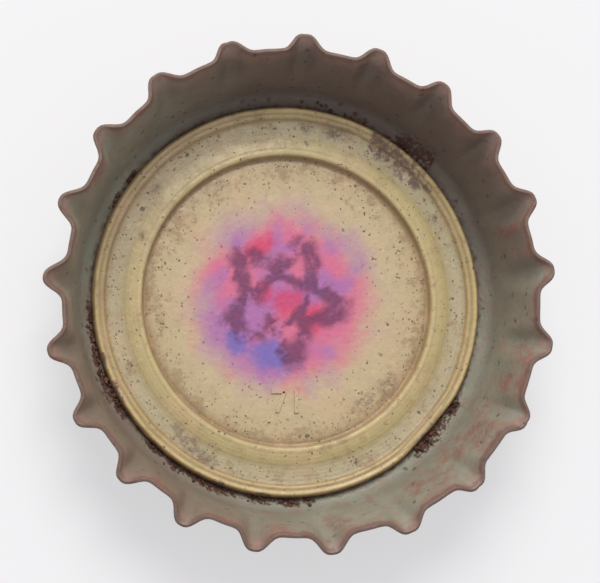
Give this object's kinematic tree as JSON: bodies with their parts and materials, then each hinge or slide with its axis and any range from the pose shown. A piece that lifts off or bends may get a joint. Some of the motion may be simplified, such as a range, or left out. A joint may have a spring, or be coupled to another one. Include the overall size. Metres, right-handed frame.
{
  "type": "crown bottle cap",
  "caption": "Fluted crown cap of pressed tinplate with a moulded sealing liner, lying open side up; used, stained and rusty.",
  "frame": {"origin": "centre of the outer face of the flat panel, which the cap rests on", "axes": "+Z along the cap's axis, from the panel out of the open toothed mouth; +X and +Y lie in the panel's plane"},
  "size_m": [0.0319, 0.0321, 0.006],
  "materials": {
    "tinplate": "aged grey-green lacquer, rusty cut edge",
    "liner_plastic": "yellowed soft plastic, stained"
  },
  "bodies": {
    "root": {"crown_shell": "tinplate", "sealing_liner": "liner_plastic"}
  },
  "joints": []
}
